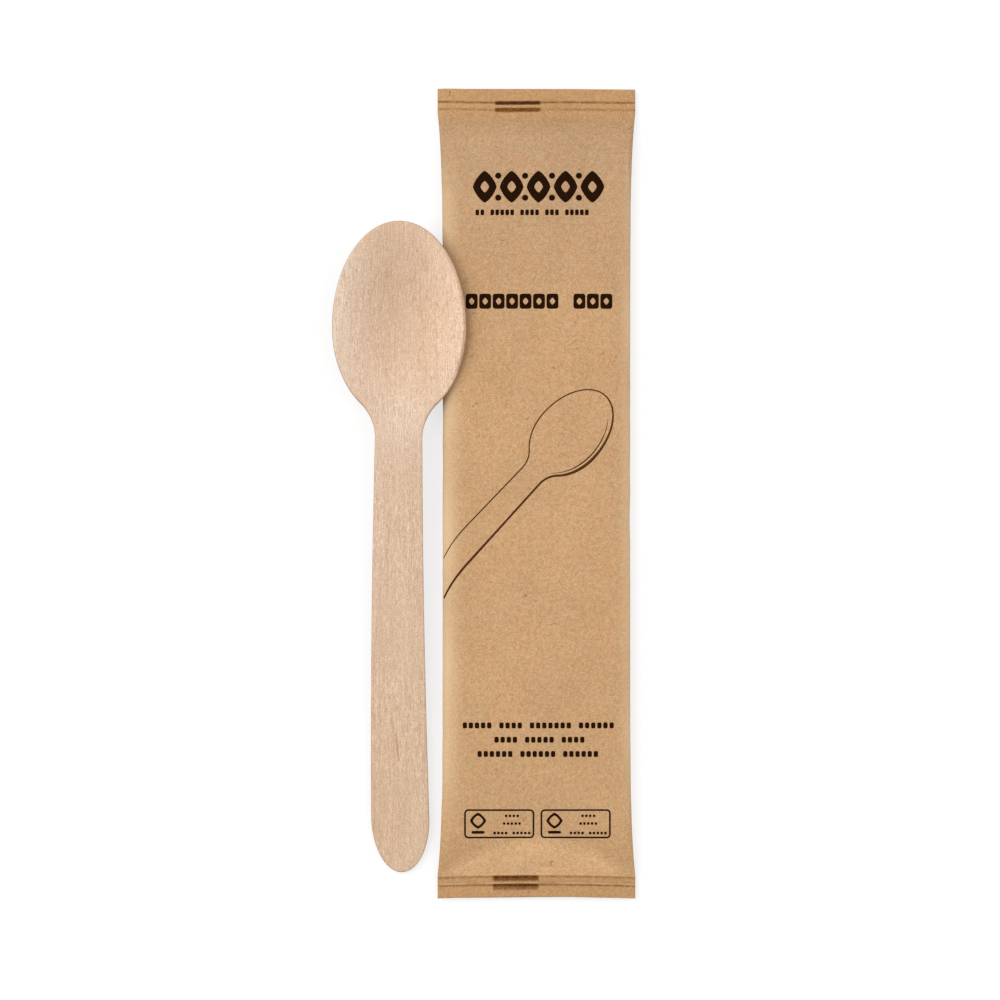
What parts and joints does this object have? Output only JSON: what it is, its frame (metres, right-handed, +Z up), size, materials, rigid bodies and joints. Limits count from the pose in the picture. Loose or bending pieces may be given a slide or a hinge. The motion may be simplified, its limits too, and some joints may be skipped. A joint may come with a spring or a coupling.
{
  "type": "wrapped wooden spoon",
  "caption": "Sealed kraft paper pack with crimped ends, and a bare pressed birch spoon leaning on its long edge.",
  "frame": {"origin": "middle of the whole, on the surface that it lies on", "axes": "+Y from the handles to the bowls along the pack, +Z up, +X from the bare spoon to the pack"},
  "size_m": [0.0744, 0.199, 0.0083],
  "materials": {
    "birch_wood": "smooth uncoated veneer with fine grain along its length",
    "kraft_paper": "uncoated brown kraft paper, matt, with dark flat print"
  },
  "bodies": {
    "root": {"spoon": "birch_wood", "paper_wrap": "kraft_paper"}
  },
  "joints": []
}
